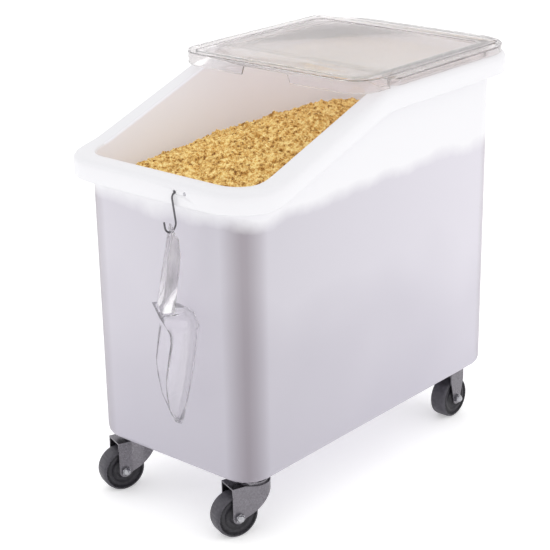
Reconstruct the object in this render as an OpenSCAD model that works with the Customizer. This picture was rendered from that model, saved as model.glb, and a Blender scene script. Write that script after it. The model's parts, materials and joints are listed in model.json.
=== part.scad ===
// Mobile ingredient bin with a slanted mouth, a two-piece clear lid, a hanging scoop and four casters.
// The origin is on the floor under the middle of the bin, the front faces -Y and up is +Z.

/* [Bin body] */
// Width over the rolled rim
rim_w = 419; // [380:1:500]
// Length over the rolled rim, front to back
rim_l = 749; // [700:1:820]
// Height of the rim's flat rear part above the floor
rim_z = 700; // [670:1:760]
// Height of the rim at the front
front_rim_z = 605; // [585:1:630]
// Distance from the front of the rim to where the slant starts
slant_start = 80; // [70:1:110]
// Distance from the front of the rim to the crest, where the slant ends
slant_end = 355; // [320:1:370]
// Half length of the soft bends at both ends of the slant
bend_half = 26; // [12:1:34]
// Corner radius of the rim, seen from above
rim_corner_r = 84; // [75:1:100]
// Depth of the rolled rim
rim_h = 36; // [30:1:42]
// How far the rim stands out from the wall
rim_overhang = 31; // [27:1:36]
// Radius of the rim's outer roll
roll_r = 11; // [7:1:12]
// Wall thickness of the rim and its skirt
rim_t = 5; // [4:0.5:6]
// Wall thickness of the body
wall_t = 6; // [5:0.5:7]
// Thickness of the floor
floor_t = 9; // [9:0.5:12]
// Draft of each wall over the whole height
draft = 3; // [1:0.5:8]
// Radius of the lower outer edge
base_r = 14; // [12:1:18]

/* [Contents] */
// Height of the grain at the walls
grain_wall_z = 542; // [500:1:548]
// Height of the heap above its level at the walls
heap_h = 76; // [50:1:80]
// How far the heap's lumps rise and dip from its even slope
lump_h = 4; // [0:0.5:5]
// Length over which the lumps repeat
lump_pitch = 104; // [90:1:150]
// Clearance of the grain from the walls
grain_gap = 0.5; // [0.3:0.1:1]

/* [Lids] */
// Wall thickness of both lids
lid_t = 3; // [2.5:0.5:3.5]
// How far the lids' skirts stand in from the rim's edge
lid_inset = 7; // [6:0.5:9]
// Height of the rear lid above the rim
rear_lid_h = 13; // [11:0.5:16]
// Height of the sliding lid above the rear lid
slide_lid_h = 10; // [9:0.5:12]
// Length of the sliding lid
slide_lid_l = 386; // [370:1:386]
// Distance from the crest back to the rear lid's front edge
rear_lid_back = 26; // [20:1:32]
// Distance of the rear lid from the back of the rim
rear_lid_end = 8; // [7:0.5:14]
// How far the parked sliding lid stands out in front of the crest
park_reach = 66; // [58:1:76]
// Travel of the parked lid back to its stop, from deep skirt to rear lid
park_gap = 18; // [10:1:22]
// Corner radius at the sliding lid's front
lid_front_r = 50; // [40:1:56]
// Corner radius at the sliding lid's back and the rear lid's front
lid_back_r = 12; // [8:1:16]
// Width of the flat border round each lid's panel
lid_border = 24; // [20:1:28]
// Depth of the sunk panel in each lid
panel_sink = 2.5; // [1.5:0.5:3]
// Width of the finger cut-out in the sliding lid's front skirt
finger_w = 102; // [90:1:120]
// Height of the skirt band left above the finger cut-out
finger_band = 8; // [6:0.5:10]
// Depth of the rear lid's locating lip below the rim
lip_drop = 9; // [6:0.5:12]

/* [Hook and scoop] */
// Distance of the hook from the bin's middle
hook_x = 66; // [50:1:90]
// Depth of the hook's hole below the rim's top
hook_drop = 14; // [13:1:17]
// Radius of the hook's holes in the rim
hook_hole_r = 3.2; // [2.8:0.1:3.6]
// Distance from the hook's hole to the spare hole beside it
spare_hole_pitch = 21; // [16:1:30]
// Diameter of the hook's wire
wire_d = 3; // [2.6:0.1:3.4]
// Bend radius of the hook's upper eye
hook_eye_r = 8; // [7:0.5:9]
// Length of the hook's shank
shank_l = 38; // [40:1:56]
// Bend radius of the hook's lower end
hook_j_r = 12; // [10:0.5:13]
// Length of the hook's upturned end
hook_tail = 9; // [6:1:14]
// Lean of the hanging hook towards the wall
hook_lean = 9; // [6:0.5:9.5]
// Turn of the hanging scoop about the vertical
scoop_yaw = 35; // [25:1:35]
// Sideways tilt that brings the scoop's weight under the hook
scoop_roll = 1.3; // [0.8:0.1:1.5]
// Wall thickness of the scoop
scoop_t = 2.4; // [2:0.1:3]
// Length of the scoop's bowl
bowl_l = 196; // [180:1:210]
// Width of the scoop's bowl
bowl_w = 92; // [84:1:98]
// Depth of the scoop's bowl
bowl_d = 56; // [52:1:58]
// Length of the scoop's handle above the bowl
handle_l = 126; // [120:1:134]
// Width of the handle at its free end
handle_w = 31; // [28:1:36]
// Depth of the handle's side flanges
handle_d = 17; // [14:1:20]
// Lean of the handle away from the bowl
handle_lean = 9; // [6:1:11]
// Radius of the hole in the handle
handle_hole_r = 6; // [5.5:0.5:7]

/* [Casters] */
// Height of each caster, from the floor to the bin's underside
caster_h = 104; // [101:1:108]
// Wheel diameter
wheel_d = 76; // [72:1:78]
// Wheel width
wheel_w = 32; // [28:1:34]
// Distance of each caster from the bin's middle, sideways
caster_x = 131; // [120:1:136]
// Distance of the front casters' swivel axes ahead of the bin's middle
front_caster_y = 284; // [276:1:290]
// Distance of the rear axles behind the bin's middle
rear_axle_y = 275; // [262:1:284]
// Distance of each front axle ahead of its swivel axis
trail = 36; // [30:1:38]
// How far the front casters have swivelled from straight ahead, in degrees
caster_turn = 20.5; // [0:0.5:40]
// Thickness of the pressed steel
steel_t = 2.5; // [2:0.25:3]
// Gap between the wheel and each leg of its fork
leg_gap = 1.5; // [1:0.25:2.5]
// Axle bolt radius
axle_r = 4; // [3.5:0.25:4.5]
// Running clearance, radial
run_gap = 0.08; // [0.04:0.01:0.1]
// Outer radius of the sleeve that the wheel runs on
sleeve_r = 6.5; // [6:0.25:7.5]
// Caster plate size, sideways
plate_w = 56; // [54:1:58]
// Caster plate size, front to back
plate_l = 70; // [66:1:72]
// Spacing of the plate's screws, sideways
screw_px = 40; // [38:1:42]
// Spacing of the plate's screws, front to back
screw_py = 54; // [50:1:56]
// Screw radius
screw_r = 3; // [2.5:0.25:3.25]
// How far each screw goes into the floor
screw_bite = 5; // [3:0.5:6]
// Radius of the front casters' swivel head
head_r = 29; // [27:0.5:30]
// Height of the swivel head, from fork crown to plate
head_h = 10; // [9:0.5:12]
// Diameter of the swivel balls
ball_d = 5; // [4:0.5:5.5]
// Number of swivel balls
ball_n = 14; // [10:1:16]

/* [Hidden] */
$fn = 64;
// Gap between pieces that rest on each other
seat = 0.3;
// Overshoot of a cut past the face that it opens
cut = 1;

front_y = -rim_l / 2;
back_y = rim_l / 2;
foot_y = front_y + slant_start;
crest_y = front_y + slant_end;
slope = (rim_z - front_rim_z) / (crest_y - foot_y);

// A ramp that is 0 before the bend and t after it, with a parabola between
function ramp(t) = t <= -bend_half ? 0
    : t >= bend_half ? t
    : (t + bend_half) * (t + bend_half) / (4 * bend_half);
// Height of the rim's top at a place along the bin
function rim_top(y) = front_rim_z + slope * (ramp(y - foot_y) - ramp(y - crest_y));
// How far the wall's outer face stands in from the rim's edge, at a height
function wall_in(z) = rim_overhang + draft * (rim_z - z) / (rim_z - caster_h);

// Stations of the body's outline: a corner centre's signs with an angle, or a place on a side
corner_steps = 6;
function corner(sx, sy, a0) = [for (i = [0:corner_steps]) [sx, sy, a0 + 90 * i / corner_steps]];
bend_steps = [-1, -0.5, 0, 0.5, 1];
side_ys = concat(
    [for (k = bend_steps) if (foot_y + k * bend_half > front_y + rim_corner_r + 1) foot_y + k * bend_half],
    [for (k = bend_steps) crest_y + k * bend_half]);
function side(sx, up) = [for (i = [0:len(side_ys) - 1])
    [sx, 0, side_ys[up ? i : len(side_ys) - 1 - i]]];
stations = concat(corner(1, -1, 270), side(1, true), corner(1, 1, 0),
    corner(-1, 1, 90), side(-1, false), corner(-1, -1, 180));

// A point of the outline at a station, set in from the rim's edge
function outline(s, inset) = s[1] == 0
    ? [s[0] * (rim_w / 2 - inset), s[2]]
    : [s[0] * (rim_w / 2 - rim_corner_r) + (rim_corner_r - inset) * cos(s[2]),
       s[1] * (rim_l / 2 - rim_corner_r) + (rim_corner_r - inset) * sin(s[2])];

// Rings of the body's section: [from the wall or the rim, inset, from the top or the floor, height]
arc_steps = 4;
inner_edge_r = 5;
hem_r = 2.4;
floor_z = caster_h + floor_t;
inner_base_r = base_r - wall_t;
function quarter(n) = [for (i = [0:n]) 90 * i / n];
body_rings = concat(
    [for (a = quarter(arc_steps)) ["wall", wall_t + inner_base_r * (1 - sin(a)), "floor",
        floor_z + inner_base_r * (1 - cos(a))]],
    [for (a = quarter(3)) ["wall", wall_t - inner_edge_r * (1 - cos(a)), "top",
        -inner_edge_r * (1 - sin(a))]],
    [for (a = quarter(arc_steps)) ["rim", roll_r * (1 - sin(a)), "top", -roll_r * (1 - cos(a))]],
    [for (a = [0, 60, 120, 180]) ["rim", hem_r * (1 - cos(a)), "top", -rim_h + hem_r * (1 - sin(a))]],
    [for (a = [0, 45, 90]) ["rim", rim_t + (roll_r - rim_t) * (1 - cos(a)), "top",
        -rim_t - (roll_r - rim_t) * (1 - sin(a))]],
    [for (a = [0, 45, 90]) ["wall", -rim_t * (1 - sin(a)), "top", -rim_t - rim_t * (1 - cos(a))]],
    [for (a = quarter(arc_steps)) ["wall", base_r * (1 - cos(a)), "floor",
        caster_h + base_r * (1 - sin(a))]]);

// A point on a ring at a station
function ring_point(s, r) = let(
        edge = outline(s, 0),
        z0 = r[2] == "floor" ? r[3] : rim_top(edge[1]) + r[3],
        p = outline(s, r[1] + (r[0] == "wall" ? wall_in(z0) : 0)))
    [p[0], p[1], r[2] == "floor" ? r[3] : rim_top(p[1]) + r[3]];

// A closed skin through rings of equal length, with a flat cap on the first and the last
module loft(rings) {
    n = len(rings[0]);
    m = len(rings);
    points = [for (r = rings) each r];
    sides = [for (j = [0:m - 2]) for (i = [0:n - 1]) let(k = (i + 1) % n)
        each [[j * n + i, j * n + k, (j + 1) * n + i], [j * n + k, (j + 1) * n + k, (j + 1) * n + i]]];
    caps = [[for (i = [n - 1:-1:0]) i], [for (i = [0:n - 1]) (m - 1) * n + i]];
    polyhedron(points, concat(sides, caps), convexity = 8);
}

// A rectangle with two corner radii, as true arcs
module rounded(half_w, y0, y1, r0, r1) {
    polygon([[-half_w, y0 + r0], [-half_w + r0, y0], [half_w - r0, y0], [half_w, y0 + r0],
        [half_w, y1 - r1], [half_w - r1, y1], [-half_w + r1, y1], [-half_w, y1 - r1]]);
    for (sx = [-1, 1]) {
        translate([sx * (half_w - r0), y0 + r0]) circle(r0);
        translate([sx * (half_w - r1), y1 - r1]) circle(r1);
    }
}

// Body with its rolled rim

hook_z = front_rim_z - hook_drop;
skirt_mid_y = front_y + rim_t / 2;

module rim_hole(x) {
    translate([x, front_y - cut, hook_z])
        rotate([-90, 0, 0])
            cylinder(r = hook_hole_r, h = rim_t + 2 * cut);
}

module caster_screw_places(x, y) {
    for (sx = [-1, 1], sy = [-1, 1])
        translate([x + sx * screw_px / 2, y + sy * screw_py / 2, 0]) children();
}

module bin_body() {
    color("#f4f4f8")
    difference() {
        loft([for (r = body_rings) [for (s = stations) ring_point(s, r)]]);
        rim_hole(hook_x);
        rim_hole(hook_x + spare_hole_pitch);
        for (sx = [-1, 1], y = [-front_caster_y, rear_axle_y])
            caster_screw_places(sx * caster_x, y)
                translate([0, 0, caster_h - cut])
                    cylinder(r = screw_r + run_gap, h = screw_bite + cut + seat);
    }
}

// Contents

// Height of the heap at a place, with lumps that fade out towards the walls
grain_inset = wall_t + grain_gap;
grain_half_w = rim_w / 2 - wall_in(grain_wall_z) - grain_inset;
grain_half_l = rim_l / 2 - wall_in(grain_wall_z) - grain_inset;
function arch(k, power) = pow(max(0, 1 - k * k), power);
function heap_z(x, y) = let(
        u = x / grain_half_w,
        v = y / grain_half_l,
        drift = 0.93 + 0.05 * sin(260 * v + 120 * u) + 0.03 * sin(410 * u),
        lump = sin(360 * (x + 0.4 * y) / lump_pitch) * sin(360 * (y - 0.3 * x) / lump_pitch + 60))
    grain_wall_z + heap_h * arch(u, 0.8) * arch(v, 0.5) * drift + lump_h * lump * arch(u, 0.5) * arch(v, 0.5);

// Stations of the grain's outline: those of the body's corners, with more along the straight sides
grain_ys = [for (k = [-4:4]) 60 * k];
grain_xs = [for (k = [-1.5:1.5]) 54 * k];
grain_stations = concat(corner(1, -1, 270), [for (y = grain_ys) [1, 0, y]],
    corner(1, 1, 0), [for (x = grain_xs) [0, 1, -x]],
    corner(-1, 1, 90), [for (y = grain_ys) [-1, 0, -y]],
    corner(-1, -1, 180), [for (x = grain_xs) [0, -1, x]]);
function grain_edge(s, inset) = s[0] == 0 ? [s[2], s[1] * (rim_l / 2 - inset)] : outline(s, inset);
grain_rings = 10;

// The grain fills the body up to the heap
module grain_fill() {
    base = floor_z + seat;
    knee_z = base + inner_base_r;
    function ring(z, inset) = [for (s = grain_stations)
        let(p = grain_edge(s, wall_in(z) + inset)) [p[0], p[1], z]];
    function heap_ring(k) = [for (q = ring(grain_wall_z, grain_inset)) [k * q[0], k * q[1],
        k == 1 ? grain_wall_z : heap_z(k * q[0], k * q[1])]];
    rings = concat([ring(base, grain_inset + inner_base_r), ring(knee_z, grain_inset)],
        [for (j = [0:grain_rings - 1]) heap_ring(1 - j / grain_rings)]);
    n = len(grain_stations);
    m = len(rings);
    crown = [0, 0, heap_z(0, 0)];
    sides = [for (j = [0:m - 2]) for (i = [0:n - 1]) let(k = (i + 1) % n)
        each [[j * n + i, (j + 1) * n + i, j * n + k], [j * n + k, (j + 1) * n + i, (j + 1) * n + k]]];
    top = [for (i = [0:n - 1]) [(m - 1) * n + i, m * n, (m - 1) * n + (i + 1) % n]];
    bottom = [[for (i = [0:n - 1]) i]];
    color("#d8a64f")
    polyhedron(concat([for (r = rings) each r], [crown]), concat(sides, top, bottom), convexity = 4);
}

// Lids

lid_half_w = rim_w / 2 - lid_inset;
rear_lid_y0 = crest_y + rear_lid_back;
rear_lid_y1 = back_y - rear_lid_end;
rear_lid_top = rim_z + rear_lid_h;
rear_lid_r = rim_corner_r - rear_lid_end;
slide_y0 = crest_y - park_reach;
slide_y1 = slide_y0 + slide_lid_l;
slide_top = rear_lid_top + slide_lid_h;
deep_end_y = rear_lid_y0 - park_gap;
panel_r = 12;

// A lid's border and sunk panel, as a tray that is open below
module tray(half_w, y0, y1, r0, r1, z0, z1) {
    b = lid_border;
    difference() {
        translate([0, 0, z0]) linear_extrude(z1 - z0) rounded(half_w, y0, y1, r0, r1);
        translate([0, 0, z0 - cut])
            linear_extrude(z1 - z0 + cut - lid_t)
                difference() {
                    rounded(half_w - lid_t, y0 + lid_t, y1 - lid_t, r0 - lid_t, r1 - lid_t);
                    rounded(half_w - b + lid_t, y0 + b - lid_t, y1 - b + lid_t, panel_r + lid_t, panel_r + lid_t);
                }
        translate([0, 0, z0 - cut])
            linear_extrude(z1 - z0 + cut - panel_sink - lid_t)
                rounded(half_w - b + 2 * lid_t, y0 + b - 2 * lid_t, y1 - b + 2 * lid_t,
                    panel_r + 2 * lid_t, panel_r + 2 * lid_t);
        translate([0, 0, z1 - panel_sink])
            linear_extrude(panel_sink + cut)
                rounded(half_w - b, y0 + b, y1 - b, panel_r, panel_r);
    }
}

module rear_lid() {
    lip_in = wall_in(rim_z) + wall_t + 1;
    lip_half_w = rim_w / 2 - lip_in;
    lip_y1 = back_y - lip_in;
    lip_r = rim_corner_r - lip_in;
    color("#d8cfcd")
    union() {
        tray(lid_half_w - 0.5, rear_lid_y0, rear_lid_y1, lid_back_r, rear_lid_r, rim_z + seat, rear_lid_top);
        translate([0, 0, rim_z - lip_drop])
            linear_extrude(lip_drop + rear_lid_h - lid_t / 2)
                difference() {
                    rounded(lip_half_w, rear_lid_y0 + lid_t, lip_y1, 2 * lid_t, lip_r);
                    rounded(lip_half_w - lid_t, rear_lid_y0 - cut, lip_y1 - lid_t, lid_t, lip_r - lid_t);
                }
    }
}

module sliding_lid() {
    deep_h = slide_top - rim_z - seat;
    flare = 4;
    color("#d8cfcd")
    difference() {
        union() {
            tray(lid_half_w, slide_y0, slide_y1, lid_front_r, lid_back_r, rear_lid_top + seat, slide_top);
            translate([0, 0, rim_z + seat])
                linear_extrude(deep_h - lid_t / 2)
                    intersection() {
                        difference() {
                            rounded(lid_half_w, slide_y0, slide_y1, lid_front_r, lid_back_r);
                            rounded(lid_half_w - lid_t, slide_y0 + lid_t, slide_y1 - lid_t,
                                lid_front_r - lid_t, lid_back_r - lid_t);
                        }
                        translate([-rim_w, slide_y0 - cut])
                            square([2 * rim_w, deep_end_y - slide_y0 + cut]);
                    }
        }
        translate([0, slide_y0 - cut, 0])
            rotate([-90, 0, 0])
                linear_extrude(lid_t + 2 * cut)
                    polygon([[-finger_w / 2 - flare / 4, -rim_z], [finger_w / 2 + flare / 4, -rim_z],
                        [finger_w / 2 - flare, finger_band - slide_top],
                        [-finger_w / 2 + flare, finger_band - slide_top]]);
    }
}

// Hook

eye_y = skirt_mid_y;
eye_z = hook_z - hook_hole_r + seat - sqrt(pow(hook_eye_r - wire_d / 2, 2) - pow(rim_t / 2, 2));
bend_y = -hook_eye_r - hook_j_r;
hang_y = eye_y + bend_y * cos(hook_lean) + shank_l * sin(hook_lean);
hang_z = eye_z + bend_y * sin(hook_lean) - shank_l * cos(hook_lean) - hook_j_r;
wire_sides = 10;
// The wire's centre line from the eye's middle, as [y, z, direction], with angles from +Y to +Z
hook_line = concat(
    [for (a = [-20:12.5:180]) [hook_eye_r * cos(a), hook_eye_r * sin(a), a + 90]],
    [for (a = [0:-12:-180]) [bend_y + hook_j_r * cos(a), hook_j_r * sin(a) - shank_l, a - 90]],
    [[bend_y - hook_j_r, hook_tail - shank_l, 90]]);

module hook() {
    color("#5a5a60")
    translate([hook_x, eye_y, eye_z])
        rotate([hook_lean, 0, 0])
            loft([for (p = hook_line) [for (i = [0:wire_sides - 1]) let(
                    t = 360 * i / wire_sides,
                    out = wire_d / 2 * cos(t))
                [wire_d / 2 * sin(t), p[0] - out * sin(p[2]), p[1] + out * cos(p[2])]]]);
}

// Scoop, drawn with its hole at the origin, the handle up and the bowl's mouth towards -Y

// Stations of the bowl: share of its length, lip offset, half width and depth as shares
bowl_stations = [
    [0.00, 18, 0.74, 0.70],
    [0.05, 17, 0.92, 0.93],
    [0.14, 14, 1.00, 1.00],
    [0.55, 17, 0.94, 0.86],
    [0.80, 11, 0.68, 0.56],
    [0.94, -1, 0.38, 0.26],
    [1.00, -8, 0.12, 0.08]
];

module bowl_solid(shrink) {
    hull()
        for (b = bowl_stations) {
            top = b[0] == 0 ? shrink : 0;
            tip = b[0] == 1 ? 2 * shrink : 0;
            translate([0, -b[1], -handle_l - b[0] * bowl_l - top + tip])
                scale([max(1, b[2] * bowl_w / 2 - shrink), max(1, b[3] * bowl_d - shrink), 1])
                    cylinder(r = 1, h = 0.2, center = true, $fn = 32);
        }
}

// Side profile of the space cut away in front of the lip, as [out, down]
lip_profile = [[26, 0], [20, 0.05], [13, 0.12], [12, 0.20], [16, 0.34], [20, 0.50],
    [19, 0.64], [14, 0.80], [4, 0.94], [-7, 1.0], [-12, 1.04]];

module scoop_bowl() {
    reach = bowl_d + 60;
    difference() {
        bowl_solid(0);
        bowl_solid(scoop_t);
        rotate([90, 0, -90])
            linear_extrude(bowl_w + 40, center = true)
                polygon(concat([for (p = lip_profile) [p[0], -handle_l - p[1] * bowl_l]],
                    [[reach, -handle_l - 1.04 * bowl_l], [reach, -handle_l + 20], [26, -handle_l + 20]]));
    }
}

module scoop_handle() {
    top = 10;
    flange_top = 4;
    root = 8;
    foot_w = handle_w + 9;
    rotate([-handle_lean, 0, 0])
    difference() {
        union() {
            translate([0, scoop_t / 2, 0])
                rotate([90, 0, 0])
                    linear_extrude(scoop_t)
                        union() {
                            polygon([[-handle_w / 2, 0], [handle_w / 2, 0],
                                [foot_w / 2, -handle_l - root], [-foot_w / 2, -handle_l - root]]);
                            intersection() {
                                circle(r = handle_w / 2);
                                translate([-handle_w, -cut]) square([2 * handle_w, top + cut]);
                            }
                        }
            for (sx = [-1, 1])
                rotate([0, sx * -atan((foot_w - handle_w) / 2 / handle_l), 0])
                    translate([sx * (handle_w / 2 - scoop_t / 2), 0, 0])
                        rotate([90, 0, 90])
                            linear_extrude(scoop_t, center = true)
                                polygon([[0, flange_top], [handle_d * 0.6, -6], [handle_d, -30],
                                    [handle_d + 3, -handle_l - root / 2], [0, -handle_l - root / 2]]);
        }
        translate([0, -scoop_t, hole_down])
            rotate([-90, 0, 0])
                cylinder(r = handle_hole_r, h = 3 * scoop_t);
    }
}

// The wire rests in the top of the handle's hole
hole_down = wire_d / 2 + 0.6 - handle_hole_r;

module scoop() {
    color("#dfe0e6")
    translate([hook_x, hang_y, hang_z])
        rotate([0, scoop_roll, 0])
            rotate([0, 0, -scoop_yaw])
                union() {
                    scoop_handle();
                    scoop_bowl();
                }
}

// Casters

wheel_r = wheel_d / 2;
crown_z = caster_h - steel_t - head_h - steel_t;
leg_in = wheel_w / 2 + leg_gap;
leg_out = leg_in + steel_t;
leg_foot_r = 11.5;
head_hex = 5;
head_t = 3;
nut_hex = 14;
race_r = head_r - 3;
bearing_pitch_r = race_r - ball_d / 2 - 2;

module at_caster(x, y) {
    translate([x, y, 0]) children();
}

module steel() {
    color("#a7a8ad") children();
}

// Six-sided head or nut, standing on the plane z = 0
module hexagon(across, h) {
    cylinder(d = across / cos(30), h = h, $fn = 6);
}

// Screws that hold a plate: hexagon heads below, shanks up into the floor
module plate_screws(seat_z) {
    steel()
    caster_screw_places(0, 0) {
        translate([0, 0, seat_z]) cylinder(r = screw_r, h = caster_h + screw_bite - seat_z);
        translate([0, 0, seat_z - head_t]) hexagon(2 * head_hex, head_t);
    }
}

module plate_blank() {
    difference() {
        translate([0, 0, caster_h - steel_t])
            linear_extrude(steel_t)
                rounded(plate_w / 2, -plate_l / 2, plate_l / 2, 8, 8);
        caster_screw_places(0, 0)
            translate([0, 0, caster_h - steel_t - cut])
                cylinder(r = screw_r + 3 * run_gap, h = steel_t + 2 * cut);
    }
}

kingpin_r = 5;
// The balls run halfway between the fork's crown and the plate, and the races stop short of each other
ball_z = crown_z + steel_t + head_h * 0.6;
race_gap = ball_d / 2;

// Mounting plate with the upper ball race pressed into it
module swivel_plate() {
    steel()
    difference() {
        union() {
            plate_blank();
            translate([0, 0, ball_z + race_gap / 2])
                cylinder(r = race_r, h = caster_h - steel_t / 2 - ball_z - race_gap / 2);
        }
        translate([0, 0, ball_z])
            rotate_extrude()
                translate([bearing_pitch_r, 0]) circle(d = ball_d + 2 * seat);
        translate([0, 0, ball_z])
            cylinder(r = kingpin_r + run_gap, h = caster_h + cut - ball_z);
    }
}

// Rivet that the fork turns on
module kingpin() {
    rivet_head_r = 9;
    rivet_head_h = 3;
    steel()
    union() {
        translate([0, 0, crown_z - seat]) cylinder(r = kingpin_r, h = caster_h - seat - crown_z);
        translate([0, 0, crown_z - seat - rivet_head_h]) cylinder(r1 = 6, r2 = rivet_head_r, h = rivet_head_h);
    }
}

// Balls in their cage
module bearing() {
    color("#c9cacf")
    union() {
        for (i = [0:ball_n - 1])
            rotate([0, 0, 360 * i / ball_n])
                translate([bearing_pitch_r, 0, ball_z]) sphere(d = ball_d, $fn = 32);
        rotate_extrude()
            translate([bearing_pitch_r - 0.6, ball_z - 0.6]) square([1.2, 1.2]);
    }
}

// One leg's outline seen from the side: its reach behind and ahead of the axle at the top, and how
// far down each edge runs before it turns in to the axle
module leg_outline(top_z, back, front, back_drop, front_drop) {
    tangent = 0.7 * leg_foot_r;
    difference() {
        union() {
            translate([0, wheel_r]) circle(r = leg_foot_r);
            polygon([[-leg_foot_r, wheel_r], [-front, top_z - front_drop], [-front, top_z],
                [back, top_z], [back, top_z - back_drop], [tangent, wheel_r - tangent], [0, wheel_r]]);
        }
        translate([0, wheel_r]) circle(r = axle_r + run_gap);
    }
}

module legs(top_z, back, front, back_drop, front_drop) {
    for (sx = [-1, 1])
        translate([sx * (leg_in + steel_t / 2), 0, 0])
            rotate([90, 0, 90])
                linear_extrude(steel_t, center = true)
                    leg_outline(top_z, back, front, back_drop, front_drop);
}

// Plan of the swivelling fork seen from above, with the axle at the origin: a straight strap, then
// sides that flare out from a crease and run tangent to the round head
crease_y = leg_foot_r + 1;
module fork_plan(half, r) {
    run = [half, crease_y - trail];
    turn = atan2(run[1], run[0]) + acos(r / norm(run));
    touch = [r * cos(turn), trail + r * sin(turn)];
    front = -leg_foot_r - cut;
    polygon([[-half, front], [half, front], [half, crease_y], touch, [-touch[0], touch[1]], [-half, crease_y]]);
    translate([0, trail]) circle(r = r);
}

// Side outline of the fork: a round foot at the axle, a straight front edge and a slanting back edge
back_edge_drop = 12;
module fork_side() {
    top_z = crown_z + steel_t;
    tangent = 0.7 * leg_foot_r;
    back = trail + head_r + cut;
    rotate([90, 0, 90])
        linear_extrude(2 * (head_r + cut), center = true) {
            translate([0, wheel_r]) circle(r = leg_foot_r);
            polygon([[-leg_foot_r, wheel_r], [-leg_foot_r, top_z], [back, top_z],
                [back, top_z - back_edge_drop], [tangent, wheel_r - tangent], [0, wheel_r]]);
        }
}

// Swivelling fork: one pressed sheet for crown, legs and skirt, with the lower ball race in its head
module swivel_fork() {
    steel()
    difference() {
        union() {
            translate([0, -trail, 0])
                intersection() {
                    union() {
                        linear_extrude(crown_z + steel_t)
                            difference() {
                                fork_plan(leg_out, head_r);
                                fork_plan(leg_in, head_r - steel_t);
                            }
                        translate([0, 0, crown_z]) linear_extrude(steel_t) fork_plan(leg_out, head_r);
                    }
                    fork_side();
                }
            translate([0, 0, crown_z]) cylinder(r = race_r, h = ball_z - race_gap / 2 - crown_z);
        }
        translate([0, 0, ball_z])
            rotate_extrude()
                translate([bearing_pitch_r, 0]) circle(d = ball_d + 2 * seat);
        translate([0, 0, crown_z - cut]) cylinder(r = kingpin_r + run_gap, h = head_h + 2 * cut);
        translate([0, -trail, wheel_r])
            rotate([0, 90, 0]) cylinder(r = axle_r + run_gap, h = 2 * (leg_out + cut), center = true);
    }
}

// Rigid fork: legs and plate pressed from one piece
module rigid_fork() {
    steel()
    union() {
        plate_blank();
        legs(caster_h - steel_t / 2, 19, 19, 30, 30);
    }
}

module axle() {
    bolt_head_h = 4;
    reach = leg_out + 2 * seat + 6;
    steel()
    union() {
        translate([-leg_out - seat, 0, wheel_r])
            rotate([0, 90, 0]) cylinder(r = axle_r, h = leg_out + seat + reach);
        translate([-leg_out - seat - bolt_head_h, 0, wheel_r])
            rotate([0, 90, 0]) hexagon(nut_hex, bolt_head_h);
    }
}

// Domed nut on the axle
module axle_nut() {
    nut_h = 4;
    dome_r = 6.6;
    color("#d6d7dc")
    difference() {
        translate([leg_out + seat, 0, wheel_r])
            rotate([0, 90, 0])
                union() {
                    hexagon(nut_hex, nut_h);
                    intersection() {
                        translate([0, 0, nut_h - 0.5]) sphere(r = dome_r);
                        translate([0, 0, nut_h - 1]) cylinder(r = dome_r + 1, h = dome_r + 1);
                    }
                }
        translate([leg_out - cut, 0, wheel_r])
            rotate([0, 90, 0]) cylinder(r = axle_r + run_gap / 2, h = 6 + cut + 2 * seat + run_gap);
    }
}

// Steel sleeve that the legs clamp and the wheel runs on
module sleeve() {
    steel()
    translate([0, 0, wheel_r])
        rotate([0, 90, 0])
            difference() {
                cylinder(r = sleeve_r, h = 2 * leg_in - 2 * run_gap, center = true);
                cylinder(r = axle_r + run_gap, h = 2 * leg_in + 2 * cut, center = true);
            }
}

// Solid rubber wheel with stepped faces
module wheel() {
    half = wheel_w / 2;
    bore_r = sleeve_r + run_gap;
    crown_in = 4;
    edge_r = 2.5;
    web = half - 5;
    groove = 1.5;
    hub_r = 15;
    color("#4a4850")
    translate([0, 0, wheel_r])
        rotate([0, 90, 0])
            rotate_extrude()
                polygon([[bore_r, -half], [hub_r - 4, -half], [hub_r - 3, -half + 1], [hub_r, -web],
                    [hub_r + 6, -web], [hub_r + 9, -half + 2], [wheel_r - 9, -half + 2],
                    [wheel_r - 8, -half + 2 + groove], [wheel_r - 7, -half + 2 + groove], [wheel_r - 6, -half + 1],
                    [wheel_r - crown_in, -half], [wheel_r - 1, -half + edge_r], [wheel_r, -half + 3 * edge_r],
                    [wheel_r, half - 3 * edge_r], [wheel_r - 1, half - edge_r], [wheel_r - crown_in, half],
                    [wheel_r - 6, half - 1], [wheel_r - 7, half - 2 - groove], [wheel_r - 8, half - 2 - groove],
                    [wheel_r - 9, half - 2], [hub_r + 9, half - 2], [hub_r + 6, web],
                    [hub_r, web], [hub_r - 3, half - 1], [hub_r - 4, half], [bore_r, half]]);
}

module at_swivel(side) {
    at_caster(side * caster_x, -front_caster_y) children();
}

module at_fork(side) {
    at_swivel(side) rotate([0, 0, -caster_turn]) children();
}

module at_front_axle(side) {
    at_fork(side) translate([0, -trail, 0]) children();
}

module at_rear(side) {
    at_caster(side * caster_x, rear_axle_y) children();
}

module front_left_plate() { at_swivel(-1) swivel_plate(); }
module front_left_screws() { at_swivel(-1) plate_screws(caster_h - steel_t - seat / 3); }
module front_left_kingpin() { at_swivel(-1) kingpin(); }
module front_left_bearing() { at_swivel(-1) bearing(); }
module front_left_fork() { at_fork(-1) swivel_fork(); }
module front_left_axle() { at_front_axle(-1) axle(); }
module front_left_nut() { at_front_axle(-1) axle_nut(); }
module front_left_sleeve() { at_front_axle(-1) sleeve(); }
module front_left_wheel() { at_front_axle(-1) wheel(); }

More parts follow.
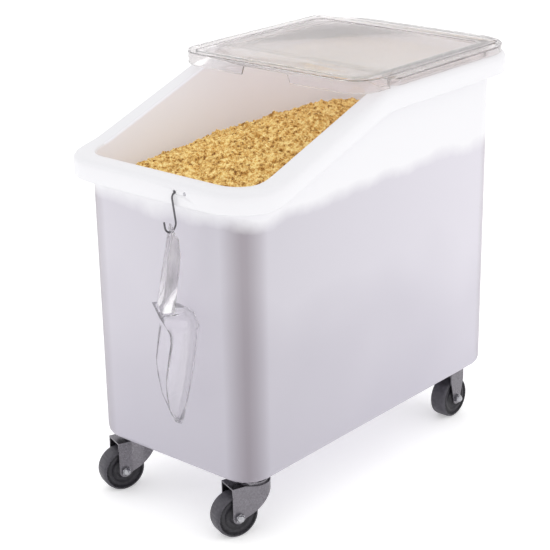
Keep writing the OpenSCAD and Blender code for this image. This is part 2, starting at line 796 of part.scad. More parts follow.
module front_right_plate() { at_swivel(1) swivel_plate(); }
module front_right_screws() { at_swivel(1) plate_screws(caster_h - steel_t - seat / 3); }
module front_right_kingpin() { at_swivel(1) kingpin(); }
module front_right_bearing() { at_swivel(1) bearing(); }
module front_right_fork() { at_fork(1) swivel_fork(); }
module front_right_axle() { at_front_axle(1) axle(); }
module front_right_nut() { at_front_axle(1) axle_nut(); }
module front_right_sleeve() { at_front_axle(1) sleeve(); }
module front_right_wheel() { at_front_axle(1) wheel(); }

module rear_left_fork() { at_rear(-1) rigid_fork(); }
module rear_left_screws() { at_rear(-1) plate_screws(caster_h - steel_t - seat / 3); }
module rear_left_axle() { at_rear(-1) axle(); }
module rear_left_nut() { at_rear(-1) axle_nut(); }
module rear_left_sleeve() { at_rear(-1) sleeve(); }
module rear_left_wheel() { at_rear(-1) wheel(); }

module rear_right_fork() { at_rear(1) rigid_fork(); }
module rear_right_screws() { at_rear(1) plate_screws(caster_h - steel_t - seat / 3); }
module rear_right_axle() { at_rear(1) axle(); }
module rear_right_nut() { at_rear(1) axle_nut(); }
module rear_right_sleeve() { at_rear(1) sleeve(); }
module rear_right_wheel() { at_rear(1) wheel(); }

bin_body();
grain_fill();
rear_lid();
sliding_lid();
hook();
scoop();
front_left_plate();
front_left_screws();
front_left_kingpin();
front_left_bearing();
front_left_fork();
front_left_axle();
front_left_nut();
front_left_sleeve();
front_left_wheel();
front_right_plate();
front_right_screws();
front_right_kingpin();
front_right_bearing();
front_right_fork();
front_right_axle();
front_right_nut();
front_right_sleeve();
front_right_wheel();
rear_left_fork();
rear_left_screws();
rear_left_axle();
rear_left_nut();
rear_left_sleeve();
rear_left_wheel();
rear_right_fork();
rear_right_screws();
rear_right_axle();
rear_right_nut();
rear_right_sleeve();
rear_right_wheel();
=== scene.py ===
# %% [markdown]
# A slant-front ingredient bin on four casters, with a two-part clear lid, a heap of golden grain and
# a clear scoop that hangs on a wire hook. The construction model is loaded first: it fixes every
# size and place in metres, and all the finishing below is fitted to it.

# %% Load the construction model
import json
import math

import bpy
from mathutils import Matrix, Vector

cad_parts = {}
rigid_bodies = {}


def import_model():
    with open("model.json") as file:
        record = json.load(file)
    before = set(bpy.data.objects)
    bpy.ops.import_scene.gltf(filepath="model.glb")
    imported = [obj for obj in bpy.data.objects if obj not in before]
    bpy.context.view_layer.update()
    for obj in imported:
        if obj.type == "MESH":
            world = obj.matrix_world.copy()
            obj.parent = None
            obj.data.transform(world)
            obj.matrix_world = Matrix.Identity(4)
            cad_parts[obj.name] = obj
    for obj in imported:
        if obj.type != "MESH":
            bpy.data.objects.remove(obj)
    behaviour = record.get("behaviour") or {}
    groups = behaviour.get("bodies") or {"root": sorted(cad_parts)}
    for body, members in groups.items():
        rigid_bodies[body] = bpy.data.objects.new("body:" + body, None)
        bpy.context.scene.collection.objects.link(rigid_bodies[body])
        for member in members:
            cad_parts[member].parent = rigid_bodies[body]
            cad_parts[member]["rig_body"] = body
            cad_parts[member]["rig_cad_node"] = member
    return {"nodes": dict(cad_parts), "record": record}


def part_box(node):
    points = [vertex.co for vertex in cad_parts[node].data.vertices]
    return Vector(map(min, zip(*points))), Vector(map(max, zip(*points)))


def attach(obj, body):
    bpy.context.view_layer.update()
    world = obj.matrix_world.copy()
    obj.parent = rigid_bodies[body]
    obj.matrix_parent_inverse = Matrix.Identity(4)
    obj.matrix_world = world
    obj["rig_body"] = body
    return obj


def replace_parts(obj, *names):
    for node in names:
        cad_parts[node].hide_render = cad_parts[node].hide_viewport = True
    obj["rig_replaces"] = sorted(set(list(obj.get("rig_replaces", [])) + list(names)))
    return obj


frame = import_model()
nodes = frame["nodes"]
body_of_node = {n: b for b, members in frame["record"]["behaviour"]["bodies"].items() for n in members}
slot_of_node = {s["node"]: s["material_slot"] for s in frame["record"]["subparts"]}
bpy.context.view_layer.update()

# %% [markdown]
# The camera comes first. A long lens from the front right, a little above the rim, gives the quiet
# perspective of a catalogue picture. Azimuth and elevation place it on a sphere round a target, so
# each number says one plain thing about the view.

# %% Camera
IMAGE_PX = 550
FOCAL_PX = 1604.4
CENTRE_PX = (287.5, 239.2)
CAMERA_TARGET = Vector((-0.0627, 0.0394, 0.3736))
CAMERA_AZIMUTH = math.radians(40.4)
CAMERA_ELEVATION = math.radians(19.2)
CAMERA_ROLL = math.radians(-0.8)
CAMERA_DISTANCE = 2.8756

back = Vector((math.sin(CAMERA_AZIMUTH) * math.cos(CAMERA_ELEVATION),
               -math.cos(CAMERA_AZIMUTH) * math.cos(CAMERA_ELEVATION),
               math.sin(CAMERA_ELEVATION)))
level = Vector((math.cos(CAMERA_AZIMUTH), math.sin(CAMERA_AZIMUTH), 0.0))
upward = back.cross(level)
right = math.cos(CAMERA_ROLL) * level + math.sin(CAMERA_ROLL) * upward
upward = back.cross(right)

lens = bpy.data.cameras.new("bin_view")
lens.sensor_width = 36.0
lens.lens = FOCAL_PX * lens.sensor_width / IMAGE_PX
lens.shift_x = (IMAGE_PX / 2 - CENTRE_PX[0]) / IMAGE_PX
lens.shift_y = (CENTRE_PX[1] - IMAGE_PX / 2) / IMAGE_PX
camera = bpy.data.objects.new("bin_view", lens)
turn = Matrix((right, upward, back)).transposed().to_4x4()
camera.matrix_world = Matrix.Translation(CAMERA_TARGET + back * CAMERA_DISTANCE) @ turn
bpy.context.scene.collection.objects.link(camera)
bpy.context.scene.camera = camera
bpy.context.scene.view_settings.view_transform = "Standard"
print("lens", round(lens.lens, 1), "mm")

# %% [markdown]
# Blender's operators act on what is selected, and every finish below is a small network of shader
# nodes. A few short helpers keep both readable: they select one piece, apply its modifiers, and
# make the noise, colour ramp, relief and arithmetic nodes that the materials share.

# %% Small helpers for selecting
def deselect():
    bpy.ops.object.select_all(action="DESELECT")


def choose(piece):
    deselect()
    piece.select_set(True)
    bpy.context.view_layer.objects.active = piece


def apply_modifiers(piece):
    choose(piece)
    for modifier in list(piece.modifiers):
        bpy.ops.object.modifier_apply(modifier=modifier.name)


# %% Small helpers for materials
def new_material(name):
    material = bpy.data.materials.new(name)
    material.use_nodes = True
    return material, material.node_tree.nodes, material.node_tree.links


def shader_of(shaders):
    return next(n for n in shaders if n.type == "BSDF_PRINCIPLED")


def noise(shaders, links, scale, detail=3.0, roughness=0.5):
    """A noise pattern on the object's own coordinates, in cycles for each metre."""
    place = shaders.new("ShaderNodeTexCoord")
    pattern = shaders.new("ShaderNodeTexNoise")
    pattern.inputs["Scale"].default_value = scale
    pattern.inputs["Detail"].default_value = detail
    pattern.inputs["Roughness"].default_value = roughness
    links.new(place.outputs["Object"], pattern.inputs["Vector"])
    return pattern.outputs["Fac"]


def ramp(shaders, links, value, stops):
    """Colours along a value, as (place, colour) stops."""
    node = shaders.new("ShaderNodeValToRGB")
    band = node.color_ramp
    while len(band.elements) < len(stops):
        band.elements.new(0.5)
    for element, (place, colour) in zip(band.elements, stops):
        element.position = place
        element.color = (*colour, 1.0)
    links.new(value, node.inputs["Fac"])
    return node.outputs["Color"]


def bump(shaders, links, height, depth, strength=1.0):
    """Fine relief of a given depth in metres, into the shader's normal."""
    node = shaders.new("ShaderNodeBump")
    node.inputs["Strength"].default_value = strength
    node.inputs["Distance"].default_value = depth
    links.new(height, node.inputs["Height"])
    links.new(node.outputs["Normal"], shader_of(shaders).inputs["Normal"])


def math_node(shaders, links, operation, first, second=None, clamp=False):
    node = shaders.new("ShaderNodeMath")
    node.operation = operation
    node.use_clamp = clamp
    for socket, value in zip(node.inputs, (first, second)):
        if value is None:
            continue
        if isinstance(value, (int, float)):
            socket.default_value = value
        else:
            links.new(value, socket)
    return node.outputs["Value"]


def mix_colours(shaders, links, kind, first, second, factor=1.0):
    """Blends two colours; each value is a socket or a constant."""
    node = shaders.new("ShaderNodeMix")
    node.data_type = "RGBA"
    node.blend_type = kind
    for socket, value in ((node.inputs["Factor"], factor), (node.inputs[6], first), (node.inputs[7], second)):
        if isinstance(value, bpy.types.NodeSocket):
            links.new(value, socket)
        else:
            socket.default_value = value
    return node.outputs[2]


# %% [markdown]
# The studio is a wide pale floor under an even white sky. Two large soft lights stand at the sides,
# a cool one on the left and a warm one on the right, and a third hangs above. The darker corner that
# faces the camera is darkened mainly by painted shade in the bin's colour, set further down.
# The floor gives off a faint light, so that the shadow under the bin stays light.

# %% Floor
FLOOR_SIZE = 14.0
FLOOR_GLOW = 0.32
FLOOR_ROUGHNESS = 0.9
FLOOR_PATCH_SCALE = 3.0
FLOOR_TONES = [(0.3, (0.93, 0.93, 0.93)), (0.7, (0.95, 0.95, 0.95))]

deselect()
bpy.ops.mesh.primitive_plane_add(size=FLOOR_SIZE, location=(0.0, 0.0, 0.0))
floor = bpy.context.active_object
floor.name = "studio_floor"


def pale_floor():
    material, shaders, links = new_material("pale_floor")
    shader = shader_of(shaders)
    shader.inputs["Roughness"].default_value = FLOOR_ROUGHNESS
    shader.inputs["Emission Color"].default_value = (1.0, 1.0, 1.0, 1.0)
    shader.inputs["Emission Strength"].default_value = FLOOR_GLOW
    patches = noise(shaders, links, FLOOR_PATCH_SCALE)
    links.new(ramp(shaders, links, patches, FLOOR_TONES), shader.inputs["Base Color"])
    return material


floor.data.materials.append(pale_floor())
print("floor", FLOOR_SIZE, "m")

# %% Sky
SKY_STRENGTH = 1.0

sky = bpy.data.worlds.new("studio_sky")
sky.use_nodes = True
sky.node_tree.nodes["Background"].inputs["Color"].default_value = (1.0, 1.0, 1.0, 1.0)
sky.node_tree.nodes["Background"].inputs["Strength"].default_value = SKY_STRENGTH
bpy.context.scene.world = sky
print("sky", SKY_STRENGTH)

# %% Lights
LIGHT_AIM = Vector((0.0, 0.0, 0.4))
COOL_WHITE = (0.92, 0.94, 1.0)
WARM_WHITE = (1.0, 0.97, 0.965)
PLAIN_WHITE = (1.0, 1.0, 1.0)


def soft_light(name, place, width, power, colour):
    """A square area light of a given width in metres and power in watts, aimed at the bin."""
    lamp = bpy.data.lights.new(name, "AREA")
    lamp.size = width
    lamp.energy = power
    lamp.color = colour
    holder = bpy.data.objects.new(name, lamp)
    holder.location = place
    holder.rotation_euler = (LIGHT_AIM - Vector(place)).to_track_quat("-Z", "Y").to_euler()
    bpy.context.scene.collection.objects.link(holder)
    print(name, power, "W")


soft_light("left_light", (-2.4, -1.8, 1.9), 1.8, 4.3, COOL_WHITE)
soft_light("right_light", (2.6, 1.2, 1.8), 1.8, 3.6, WARM_WHITE)
soft_light("top_light", (0.2, 0.6, 3.0), 2.4, 5.0, PLAIN_WHITE)

# %% [markdown]
# The construction model's meshes are loose triangles with hard facets. Each piece is finished on a
# merged copy: flat areas become single faces, moulded or pressed edges get a small rounding, and
# smooth shading runs over the curves. The copy then stands for its node, so it moves with it.

# %% Finishing copies
FLAT_ANGLE = math.radians(0.4)
SMOOTH_ANGLE = math.radians(34)


def merged_copy(node, name):
    """A connected copy of a node's mesh, as a free object at the origin."""
    choose(nodes[node])
    bpy.ops.object.duplicate()
    piece = bpy.context.active_object
    bpy.ops.object.parent_clear(type="CLEAR_KEEP_TRANSFORM")
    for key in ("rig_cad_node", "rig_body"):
        del piece[key]
    piece.name = name
    piece.data.name = name
    bpy.ops.object.mode_set(mode="EDIT")
    bpy.ops.mesh.select_all(action="SELECT")
    bpy.ops.mesh.remove_doubles(threshold=2e-6)
    bpy.ops.object.mode_set(mode="OBJECT")
    return piece


def flatten(piece):
    """Joins the triangles of each flat area."""
    choose(piece)
    bpy.ops.object.mode_set(mode="EDIT")
    bpy.ops.mesh.select_all(action="SELECT")
    bpy.ops.mesh.dissolve_limited(angle_limit=FLAT_ANGLE)
    bpy.ops.object.mode_set(mode="OBJECT")


def round_edges(piece, width, segments=2, angle=SMOOTH_ANGLE):
    edge = piece.modifiers.new("rounded_edges", "BEVEL")
    edge.width = width
    edge.segments = segments
    edge.limit_method = "ANGLE"
    edge.angle_limit = angle
    edge.miter_outer = "MITER_ARC"
    apply_modifiers(piece)


def smooth(piece, angle=SMOOTH_ANGLE):
    choose(piece)
    bpy.ops.object.shade_smooth_by_angle(angle=angle)


def stand_for(piece, node, material):
    """Gives the piece its finish, its body and its place in the record."""
    piece.data.materials.clear()
    piece.data.materials.append(material)
    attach(piece, body_of_node[node])
    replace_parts(piece, node)


def finish_node(node, name, material, edge=0.0, segments=2, angle=SMOOTH_ANGLE):
    piece = merged_copy(node, name)
    if edge:
        flatten(piece)
        round_edges(piece, edge, segments)
    smooth(piece, angle)
    stand_for(piece, node, material)
    return piece


# %% [markdown]
# The bin is white polyethylene, thick enough to look milky. Where the grain lies against the wall
# less light comes through; this is painted shade, a lilac grey in the wall's colour below a soft
# wavy line, with white above it. The line is worked out from height on the piece's own coordinates,
# with a slow noise to bend it. The painted grey is darker towards the bottom and has more painted
# shade in the rounded corners, and a painted light gradient makes it lighter towards the back and
# the left. The inner walls are a second material: light that soaks through the plastic is painted
# in as a little emission above the line, stronger on the inner walls than on the outer ones.

# %% Bin plastic
GRAIN_LINE = 0.542
GRAIN_LINE_BLUR = 0.012
LINE_WAVE_SCALE = 9.0
LINE_WAVE_HEIGHT = 0.05
OUTER_WHITE = (0.765, 0.76, 0.782)
INNER_WHITE = (0.715, 0.715, 0.765)
# Painted light: emission above the grain line stands for light that soaks through the plastic.
OUTER_PAINTED_GLOW = 0.03
INNER_PAINTED_GLOW = 0.16
PAINTED_GLOW_COLOUR = (0.97, 0.96, 1.0, 1.0)
# Painted shade below the grain line, darker towards the bottom.
PAINTED_GRAIN_SHADES = [(0.25, (0.450, 0.430, 0.495)),
                (0.75, (0.525, 0.503, 0.563)),
                (1.0, (0.59, 0.568, 0.625))]
SHADE_PATCH_SCALE = 5.0
SHADE_PATCH_SHARE = 0.5
# Painted shade in the four rounded corners.
PAINTED_CORNER_SHADE = (0.60, 0.565, 0.57)
CORNER_X = 0.125
CORNER_Y = 0.290
CORNER_REACH = 0.034
# Painted light: the wall's grey rises towards the back and the left.
PAINTED_LIGHT_DRIFT = 0.32
PAINTED_LIGHT_LEVEL = 1.06
MOULDED_ROUGHNESS = 0.38
MOULDED_GRAIN_SCALE = 260.0
MOULDED_GRAIN_DEPTH = 0.0002


def own_axes(shaders, links):
    """The X, Y and Z of each point on the piece, in metres."""
    place = shaders.new("ShaderNodeTexCoord")
    axes = shaders.new("ShaderNodeSeparateXYZ")
    links.new(place.outputs["Object"], axes.inputs["Vector"])
    return axes.outputs


def share_above_line(shaders, links, height):
    """0 below the grain's wavy line and 1 above it, with a soft step between."""
    waves = noise(shaders, links, LINE_WAVE_SCALE, 4.0)
    lift = math_node(shaders, links, "MULTIPLY", waves, LINE_WAVE_HEIGHT)
    wavy = math_node(shaders, links, "ADD", height, lift)
    start = GRAIN_LINE + LINE_WAVE_HEIGHT / 2 - GRAIN_LINE_BLUR
    above = math_node(shaders, links, "SUBTRACT", wavy, start)
    return math_node(shaders, links, "DIVIDE", above, 2 * GRAIN_LINE_BLUR, clamp=True)


def painted_corner_shade(shaders, links, x, y):
    """White on the flat walls, and painted shade in the four rounded corners."""
    wide = math_node(shaders, links, "ABSOLUTE", x)
    long = math_node(shaders, links, "ABSOLUTE", y)
    past_x = math_node(shaders, links, "SUBTRACT", wide, CORNER_X)
    past_y = math_node(shaders, links, "SUBTRACT", long, CORNER_Y)
    past = math_node(shaders, links, "MINIMUM", past_x, past_y)
    near = math_node(shaders, links, "DIVIDE", past, CORNER_REACH, clamp=True)
    return ramp(shaders, links, near, [(0.0, (1.0, 1.0, 1.0)), (1.0, PAINTED_CORNER_SHADE)])


def painted_light_drift(shaders, links, x, y):
    """Painted light: a tone that rises slowly towards the back and the left."""
    back_and_left = math_node(shaders, links, "SUBTRACT", y, x)
    drifted = math_node(shaders, links, "MULTIPLY", back_and_left, PAINTED_LIGHT_DRIFT)
    return math_node(shaders, links, "ADD", drifted, PAINTED_LIGHT_LEVEL)


def painted_grain_shade(shaders, links, axes):
    """The wall's lilac grey painted shade, where the grain stands behind it."""
    level = math_node(shaders, links, "DIVIDE", axes["Z"], GRAIN_LINE, clamp=True)
    patches = noise(shaders, links, SHADE_PATCH_SCALE, 1.0)
    uneven = math_node(shaders, links, "MULTIPLY", patches, SHADE_PATCH_SHARE)
    shade = ramp(shaders, links, math_node(shaders, links, "ADD", level, uneven), PAINTED_GRAIN_SHADES)
    # Painted shade in the corners and a painted light gradient, multiplied into the grey.
    corner = painted_corner_shade(shaders, links, axes["X"], axes["Y"])
    shade = mix_colours(shaders, links, "MULTIPLY", shade, corner)
    return mix_colours(shaders, links, "MULTIPLY", shade, painted_light_drift(shaders, links, axes["X"], axes["Y"]))


def bin_plastic(name, white, painted_glow):
    material, shaders, links = new_material(name)
    shader = shader_of(shaders)
    shader.inputs["Roughness"].default_value = MOULDED_ROUGHNESS
    shader.inputs["IOR"].default_value = 1.5
    axes = own_axes(shaders, links)
    share = share_above_line(shaders, links, axes["Z"])
    shade = painted_grain_shade(shaders, links, axes)
    colour = mix_colours(shaders, links, "MIX", shade, (*white, 1.0), share)
    links.new(colour, shader.inputs["Base Color"])
    # Painted light: emission above the grain line, for light soaking through the plastic.
    shader.inputs["Emission Color"].default_value = PAINTED_GLOW_COLOUR
    links.new(math_node(shaders, links, "MULTIPLY", share, painted_glow), shader.inputs["Emission Strength"])
    relief = noise(shaders, links, MOULDED_GRAIN_SCALE, 2.0)
    bump(shaders, links, relief, MOULDED_GRAIN_DEPTH, 0.25)
    return material


milky_plastic = bin_plastic("milky_plastic", OUTER_WHITE, OUTER_PAINTED_GLOW)
inner_plastic = bin_plastic("inner_plastic", INNER_WHITE, INNER_PAINTED_GLOW)
print("plastics", milky_plastic.name, inner_plastic.name)

# %% Bin shell
STEEP = 0.7


def faces_inward(face):
    """True for a steep face that looks towards the middle of the bin."""
    outward = face.normal.x * face.center.x + face.normal.y * face.center.y
    return outward < 0 and abs(face.normal.z) < STEEP


bin_shell = finish_node("bin_body", "bin_shell", milky_plastic)
bin_shell.data.materials.append(inner_plastic)
for face in bin_shell.data.polygons:
    face.material_index = int(faces_inward(face))
print("bin_shell faces", len(bin_shell.data.polygons))

# %% [markdown]
# The grain is a coarse golden-brown meal that holds in soft lumps. The heap's low-lumped solid is
# remeshed into small cells, pushed about by noise at three sizes, and then strewn with thousands of
# crumbs, so that its outline against the white wall is ragged as in a real heap. The points at the
# edge of the heap stay where they are, so that it still meets the wall.

# %% Grain colour
GRAIN_ROUGHNESS = 0.85
GRAIN_LUMP_SCALE = 105.0
# The darkest stop is painted shade in the gaps between lumps; the rest is the meal's own colour.
GRAIN_TONES_AND_GAP_SHADE = [(0.36, (0.24, 0.095, 0.014)), (0.47, (0.75, 0.45, 0.125)), (0.57, (1.0, 0.80, 0.35))]
GRAIN_RELIEF_SCALE = 520.0
GRAIN_RELIEF_DEPTH = 0.0015


def grain_meal():
    material, shaders, links = new_material("golden_meal")
    shader = shader_of(shaders)
    shader.inputs["Roughness"].default_value = GRAIN_ROUGHNESS
    lumps = noise(shaders, links, GRAIN_LUMP_SCALE, 6.0, 0.72)
    links.new(ramp(shaders, links, lumps, GRAIN_TONES_AND_GAP_SHADE), shader.inputs["Base Color"])
    bump(shaders, links, noise(shaders, links, GRAIN_RELIEF_SCALE, 4.0), GRAIN_RELIEF_DEPTH, 0.9)
    return material


golden_meal = grain_meal()
print("grain", golden_meal.name)

# %% Heap
HEAP_CELL = 0.0048
HEAP_TOP_FROM = 0.538
HEAP_EDGE_MARGIN = 0.004
HEAP_WAVES = [(0.028, 0.014), (0.013, 0.015), (0.0075, 0.009)]

heap = merged_copy("grain_fill", "grain_heap")
cells = heap.modifiers.new("cells", "REMESH")
cells.mode = "VOXEL"
cells.voxel_size = HEAP_CELL
apply_modifiers(heap)
print("heap cells", len(heap.data.polygons))

# %% Waves on the heap
fill_low, fill_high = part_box("grain_fill")


def is_loose(point):
    """True for a point on top of the heap that isn't at its edge."""
    in_x = fill_low.x + HEAP_EDGE_MARGIN < point.x < fill_high.x - HEAP_EDGE_MARGIN
    in_y = fill_low.y + HEAP_EDGE_MARGIN < point.y < fill_high.y - HEAP_EDGE_MARGIN
    return point.z > HEAP_TOP_FROM and in_x and in_y


loose = [v.index for v in heap.data.vertices if is_loose(v.co)]
heap.vertex_groups.new(name="top").add(loose, 1.0, "REPLACE")
for size, depth in HEAP_WAVES:
    pattern = bpy.data.textures.new("heap_wave", "CLOUDS")
    pattern.noise_scale = size
    pattern.noise_depth = 2
    wave = heap.modifiers.new("wave", "DISPLACE")
    wave.texture = pattern
    wave.texture_coords = "LOCAL"
    wave.strength = depth
    wave.mid_level = 0.5
    wave.vertex_group = "top"
    apply_modifiers(heap)
smooth(heap)
stand_for(heap, "grain_fill", golden_meal)
print("heap faces", len(heap.data.polygons), "top points", len(loose))

# %% [markdown]
# Thousands of crumbs are too many to place by hand, so a set of geometry nodes strews them: points
# are scattered over the heap's upward faces, a small rough ball is put on each, turned and stretched
# at random from a fixed seed, and the result is applied as a mesh of its own.

# %% Crumbs
CRUMBS_PER_M2 = 26000
CRUMB_SEED = 7
CRUMB_RADII = (0.0013, 0.0044)
CRUMB_SLOPE = 0.3
CRUMBS_FROM = HEAP_TOP_FROM + 0.006


def crumb_modifier(target):
    """Strews crumbs over the upward faces of the heap, as a set of geometry nodes."""
    group = bpy.data.node_groups.new("crumbs", "GeometryNodeTree")
    group.interface.new_socket("Geometry", in_out="INPUT", socket_type="NodeSocketGeometry")
    group.interface.new_socket("Geometry", in_out="OUTPUT", socket_type="NodeSocketGeometry")
    make = group.nodes.new
    join = group.links.new
    start = make("NodeGroupInput")
    end = make("NodeGroupOutput")
    both = upward_and_high(make, join)
    strew = make("GeometryNodeDistributePointsOnFaces")
    strew.inputs["Density"].default_value = CRUMBS_PER_M2
    strew.inputs["Seed"].default_value = CRUMB_SEED
    join(start.outputs[0], strew.inputs["Mesh"])
    join(both, strew.inputs["Selection"])
    place = crumbs_on_points(make, join, strew.outputs["Points"])
    real = make("GeometryNodeRealizeInstances")
    join(place, real.inputs[0])
    join(real.outputs[0], end.inputs[0])
    modifier = target.modifiers.new("crumbs", "NODES")
    modifier.node_group = group


def upward_and_high(make, join):
    """True on the faces that look up and lie near the top."""
    normal = make("ShaderNodeSeparateXYZ")
    position = make("ShaderNodeSeparateXYZ")
    join(make("GeometryNodeInputNormal").outputs[0], normal.inputs[0])
    join(make("GeometryNodeInputPosition").outputs[0], position.inputs[0])
    both = make("FunctionNodeBooleanMath")
    for socket, axes, limit in ((0, normal, CRUMB_SLOPE), (1, position, CRUMBS_FROM)):
        more = make("FunctionNodeCompare")
        more.inputs[1].default_value = limit
        join(axes.outputs["Z"], more.inputs[0])
        join(more.outputs[0], both.inputs[socket])
    return both.outputs[0]


def crumbs_on_points(make, join, points):
    """One small ball for each point, turned and stretched at random."""
    crumb = make("GeometryNodeMeshIcoSphere")
    crumb.inputs["Radius"].default_value = 1.0
    crumb.inputs["Subdivisions"].default_value = 1
    size = make("FunctionNodeRandomValue")
    angle = make("FunctionNodeRandomValue")
    size.data_type = "FLOAT_VECTOR"
    angle.data_type = "FLOAT_VECTOR"
    for axis in range(3):
        size.inputs[0].default_value[axis] = CRUMB_RADII[0]
        size.inputs[1].default_value[axis] = CRUMB_RADII[1]
        angle.inputs[1].default_value[axis] = math.tau
    place = make("GeometryNodeInstanceOnPoints")
    join(points, place.inputs["Points"])
    join(crumb.outputs["Mesh"], place.inputs["Instance"])
    join(angle.outputs[0], place.inputs["Rotation"])
    join(size.outputs[0], place.inputs["Scale"])
    return place.outputs[0]


choose(heap)
bpy.ops.object.duplicate()
crumbs = bpy.context.active_object
crumbs.name = "grain_crumbs"
del crumbs["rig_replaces"]
crumb_modifier(crumbs)
apply_modifiers(crumbs)
crumbs.data.materials.clear()
crumbs.data.materials.append(golden_meal)
print("crumb faces", len(crumbs.data.polygons))

# %% [markdown]
# Both lids and the scoop are clear polycarbonate, the lids slightly warm in tint. Clear plastic shows
# mostly by the bright and dark lines in its edges, so the lids get rounded edges that catch the light,
# and the plastic takes up a little light along its depth, which darkens an edge seen end on. Soft
# light goes straight through: a shader that only refracted would leave the inside of the bin dark.

# %% Clear plastics
PLASTIC_IOR = 1.49
EDGE_TINT = (0.50, 0.46, 0.50, 1.0)
LID_DEPTH = 12.0
SCOOP_DEPTH = 13.0
GLOSS_PATCH_SCALE = 40.0
GLOSS_SPREAD = 1.8
FLOW_MARK_SCALE = 60.0
FLOW_MARK_DEPTH = 0.0002


def roughness_patches(shaders, links, scale, roughness, spread):
    """Roughness that drifts from one value to that value times the spread."""
    stops = [(0.3, (roughness,) * 3), (0.7, (roughness * spread,) * 3)]
    patches = ramp(shaders, links, noise(shaders, links, scale), stops)
    links.new(patches, shader_of(shaders).inputs["Roughness"])


def clear_plastic(name, tint, roughness, see_through, depth):
    """Clear plastic that refracts what is seen through it and lets soft light straight through."""
    material, shaders, links = new_material(name)
    shader = shader_of(shaders)
    shader.inputs["Base Color"].default_value = (*tint, 1.0)
    shader.inputs["Transmission Weight"].default_value = 1.0
    shader.inputs["IOR"].default_value = PLASTIC_IOR
    roughness_patches(shaders, links, GLOSS_PATCH_SCALE, roughness, GLOSS_SPREAD)
    bump(shaders, links, noise(shaders, links, FLOW_MARK_SCALE), FLOW_MARK_DEPTH, 0.05)
    straight = shaders.new("ShaderNodeBsdfTransparent")
    straight.inputs["Color"].default_value = (*tint, 1.0)
    path = shaders.new("ShaderNodeLightPath").outputs
    soft = math_node(shaders, links, "MAXIMUM", path["Is Shadow Ray"], path["Is Diffuse Ray"])
    blend = shaders.new("ShaderNodeMixShader")
    links.new(math_node(shaders, links, "MAXIMUM", soft, see_through), blend.inputs["Fac"])
    links.new(shader.outputs["BSDF"], blend.inputs[1])
    links.new(straight.outputs["BSDF"], blend.inputs[2])
    inside = shaders.new("ShaderNodeVolumeAbsorption")
    inside.inputs["Color"].default_value = EDGE_TINT
    inside.inputs["Density"].default_value = depth
    output = next(n for n in shaders if n.type == "OUTPUT_MATERIAL")
    links.new(blend.outputs["Shader"], output.inputs["Surface"])
    links.new(inside.outputs["Volume"], output.inputs["Volume"])
    return material


clear_lid = clear_plastic("clear_lid", (0.98, 0.962, 0.96), 0.04, 0.10, LID_DEPTH)
clear_scoop = clear_plastic("clear_scoop", (0.985, 0.98, 0.99), 0.02, 0.15, SCOOP_DEPTH)
print("clear plastics", clear_lid.name, clear_scoop.name)

# %% Lids and scoop
LID_EDGE = 0.0012
SCOOP_ANGLE = math.radians(42)
rear_cover = finish_node("rear_lid", "rear_cover", clear_lid, LID_EDGE, 3)
sliding_cover = finish_node("sliding_lid", "sliding_cover", clear_lid, LID_EDGE, 3)
hanging_scoop = finish_node("scoop", "hanging_scoop", clear_scoop, angle=SCOOP_ANGLE)
print("lids", len(rear_cover.data.polygons), len(sliding_cover.data.polygons))

# %% [markdown]
# The casters are pressed zinc-plated steel with dark solid rubber wheels, and the hook is a darker
# wire. Plated steel has a fine mottled gloss, and moulded rubber is matt with faint scuffs. The
# rolling surface of each wheel is worn paler than its sides, so it gets a rubber of its own.

# %% Metals
MOTTLE_SCALE = 320.0
METAL_PATCH_SCALE = 90.0
METAL_SPREAD = 1.5
METAL_RELIEF_SCALE = 700.0
METAL_RELIEF_DEPTH = 0.00006


def metal(name, colour, roughness, mottle):
    material, shaders, links = new_material(name)
    shader = shader_of(shaders)
    shader.inputs["Metallic"].default_value = 1.0
    dark = tuple(c * (1 - mottle) for c in colour)
    flecks = noise(shaders, links, MOTTLE_SCALE, 4.0)
    links.new(ramp(shaders, links, flecks, [(0.35, dark), (0.65, colour)]), shader.inputs["Base Color"])
    roughness_patches(shaders, links, METAL_PATCH_SCALE, roughness, METAL_SPREAD)
    bump(shaders, links, noise(shaders, links, METAL_RELIEF_SCALE, 2.0), METAL_RELIEF_DEPTH, 0.3)
    return material


zinc_steel = metal("zinc_steel", (0.215, 0.205, 0.225), 0.24, 0.22)
bright_steel = metal("bright_steel", (0.44, 0.44, 0.465), 0.14, 0.10)
dark_wire = metal("dark_wire", (0.15, 0.145, 0.155), 0.32, 0.2)
print("metals", zinc_steel.name, bright_steel.name, dark_wire.name)

# %% Rubber
SCUFF_SCALE = 140.0
RUBBER_GLOSS = [(0.3, (0.45,) * 3), (0.7, (0.6,) * 3)]
RUBBER_PATCH_SCALE = 60.0
RUBBER_RELIEF_SCALE = 900.0
RUBBER_RELIEF_DEPTH = 0.0001


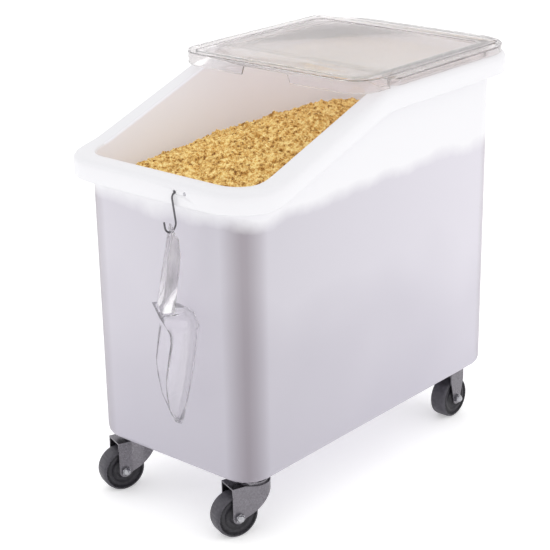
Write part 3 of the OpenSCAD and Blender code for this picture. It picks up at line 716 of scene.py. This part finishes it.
def rubber(name, dark, light):
    material, shaders, links = new_material(name)
    shader = shader_of(shaders)
    scuffs = noise(shaders, links, SCUFF_SCALE, 5.0)
    links.new(ramp(shaders, links, scuffs, [(0.35, dark), (0.7, light)]), shader.inputs["Base Color"])
    patches = noise(shaders, links, RUBBER_PATCH_SCALE)
    links.new(ramp(shaders, links, patches, RUBBER_GLOSS), shader.inputs["Roughness"])
    bump(shaders, links, noise(shaders, links, RUBBER_RELIEF_SCALE, 2.0), RUBBER_RELIEF_DEPTH, 0.4)
    return material


wheel_rubber = rubber("wheel_rubber", (0.010, 0.009, 0.013), (0.022, 0.020, 0.027))
tread_rubber = rubber("tread_rubber", (0.045, 0.042, 0.052), (0.070, 0.066, 0.080))
print("rubbers", wheel_rubber.name, tread_rubber.name)

# %% Hook
WIRE_ANGLE = math.radians(60)
hook_wire = finish_node("hook", "hook_wire", dark_wire, angle=WIRE_ANGLE)
print("hook faces", len(hook_wire.data.polygons))

# %% [markdown]
# Every caster piece is finished in one loop, with the finish of its own slot. Pressed and turned
# steel gets a small rounding, while balls and wheels are round already. The forks keep a sharper
# crease between shaded faces, so that the fold over the wheel still shows.

# %% Worn treads
TREAD_SHARE = 0.86
TREAD_FACING = 0.5


def wear_tread(wheel):
    """Gives the rolling surface of a wheel its paler, worn rubber."""
    wheel.data.materials.append(tread_rubber)
    points = [v.co for v in wheel.data.vertices]
    middle = sum(points, Vector()) / len(points)
    radius = max(p.z for p in points) - middle.z
    for face in wheel.data.polygons:
        arm = face.center - middle
        around = face.normal.dot(arm.normalized())
        face.material_index = int(arm.length > TREAD_SHARE * radius and around > TREAD_FACING)


# %% Caster pieces
PRESSED_EDGE = 0.0008
CREASE_ANGLE = math.radians(16)
CASTER_STARTS = ("front_", "rear_left", "rear_right")
FINISHES = {"zinc_steel": zinc_steel, "bright_steel": bright_steel, "wheel_rubber": wheel_rubber}

caster_nodes = sorted(n for n in nodes if n.startswith(CASTER_STARTS))
for node in caster_nodes:
    edge = 0.0 if node.endswith(("bearing", "wheel")) else PRESSED_EDGE
    angle = CREASE_ANGLE if node.endswith("fork") else SMOOTH_ANGLE
    piece = finish_node(node, node + "_finished", FINISHES[slot_of_node[node]], edge, angle=angle)
    if node.endswith("wheel"):
        wear_tread(piece)
print("caster pieces", len(caster_nodes))
